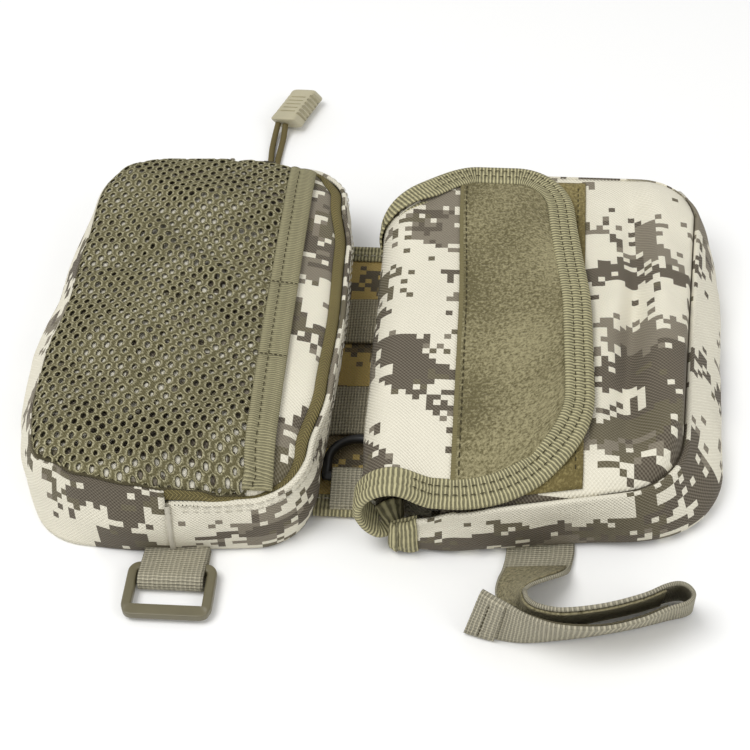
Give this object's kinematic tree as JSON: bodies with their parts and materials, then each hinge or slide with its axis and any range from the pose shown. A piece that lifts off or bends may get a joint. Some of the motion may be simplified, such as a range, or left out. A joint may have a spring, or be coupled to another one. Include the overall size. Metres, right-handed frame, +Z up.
{
  "type": "twin-pouch field pack",
  "caption": "Saddle-type fabric field pack lying open: a zip pouch with a mesh pocket and a flap pouch hinge on a webbing bridge, with a D ring, a square ring and a hook-and-loop strap.",
  "frame": {"origin": "centre of the bridge panel's underside, on the surface the open pack lies on", "axes": "+X from the zip pouch to the flap pouch, +Y along the pouches to the zip pull's end, +Z up"},
  "size_m": [0.2715, 0.3159, 0.0397],
  "materials": {
    "printed_cloth": "woven nylon with a blocky three-tone print",
    "bridge_cloth": "woven nylon, brown print in shade",
    "lining": "dark coated lining cloth",
    "webbing": "khaki ribbed webbing",
    "binding": "khaki ribbed binding tape",
    "net": "khaki knitted net",
    "piping": "pale seam cord",
    "zip_tape": "olive-brown herringbone zip tape",
    "loop_pile": "khaki loop pile",
    "hook_tape": "olive hook tape",
    "cord": "braided olive-brown cord",
    "black_plastic": "black moulded plastic",
    "ring_plastic": "khaki-brown moulded plastic",
    "beige_plastic": "beige moulded plastic",
    "slider_metal": "painted zip slider"
  },
  "bodies": {
    "bridge": {"bridge_lining": "lining", "bridge_panel": "bridge_cloth", "bridge_web_far": "webbing", "bridge_web_mid": "webbing", "bridge_hem_far": "binding", "bridge_hem_near": "binding", "d_ring_tab": "webbing"},
    "d_ring": {"d_ring": "black_plastic"},
    "zip_pouch": {"zip_back_panel": "printed_cloth", "zip_outer_gusset": "printed_cloth", "zip_inner_gusset": "printed_cloth", "zip_piping_near": "piping", "zip_piping_far": "piping", "zip_front_panel": "printed_cloth", "zip_tape_lower": "zip_tape", "net_edge_outer": "binding", "net_outer": "net", "ring_webbing": "webbing"},
    "zip_lid": {"zip_lid_panel": "printed_cloth", "zip_tape_upper": "zip_tape", "net_edge_mouth": "binding", "net_mouth": "net", "net_binding": "binding"},
    "zip_slider": {"slider_body": "slider_metal", "pull_cord": "cord", "pull_tab": "beige_plastic"},
    "square_ring": {"square_ring": "ring_plastic"},
    "flap_pouch": {"flap_back_panel": "printed_cloth", "flap_gusset": "printed_cloth", "flap_front_panel": "printed_cloth", "mouth_binding_sides": "binding", "mouth_binding_front": "binding", "front_loop_strip": "loop_pile", "flap_spine": "printed_cloth", "spine_binding": "binding"},
    "flap": {"flap_panel": "printed_cloth", "flap_lining": "lining", "flap_binding": "binding", "flap_loop_patch": "loop_pile", "flap_hook_patch": "hook_tape"},
    "strap": {"strap_webbing": "webbing", "strap_loop_patch": "loop_pile", "strap_hook_patch": "hook_tape", "strap_hem": "webbing"}
  },
  "joints": [
    {"name": "d_ring_swing", "type": "hinge", "parent": "bridge", "child": "d_ring", "pos_m": [0.0005, -0.059, 0.00645], "axis": [1, 0, 0], "range_deg": [0, 8]},
    {"name": "zip_pouch_fold", "type": "hinge", "parent": "bridge", "child": "zip_pouch", "pos_m": [-0.0155, 0, 0], "axis": [0, -1, 0], "range_deg": [0, 90]},
    {"name": "flap_pouch_fold", "type": "hinge", "parent": "bridge", "child": "flap_pouch", "pos_m": [0.0155, 0, 0], "axis": [0, 1, 0], "range_deg": [0, 90]},
    {"name": "zip_lid_hinge", "type": "hinge", "parent": "zip_pouch", "child": "zip_lid", "pos_m": [-0.0653, 0, 0.0393], "axis": [0, -1, 0], "range_deg": [0, 120]},
    {"name": "zip_slide", "type": "slide", "parent": "zip_pouch", "child": "zip_slider", "axis": [1, 0, 0], "range_m": [-0.006, 0.01]},
    {"name": "square_ring_swing", "type": "hinge", "parent": "zip_pouch", "child": "square_ring", "pos_m": [-0.065, -0.1031, 0.00365], "axis": [-1, 0, 0], "range_deg": [0, 100]},
    {"name": "flap_hinge", "type": "hinge", "parent": "flap_pouch", "child": "flap", "pos_m": [0.0162, 0, 0.0371], "axis": [0, -1, 0], "range_deg": [0, 120]},
    {"name": "strap_lift", "type": "hinge", "parent": "flap_pouch", "child": "strap", "pos_m": [0.07, -0.0817, 0.0009], "axis": [-1, 0, 0], "range_deg": [0, 20]}
  ]
}
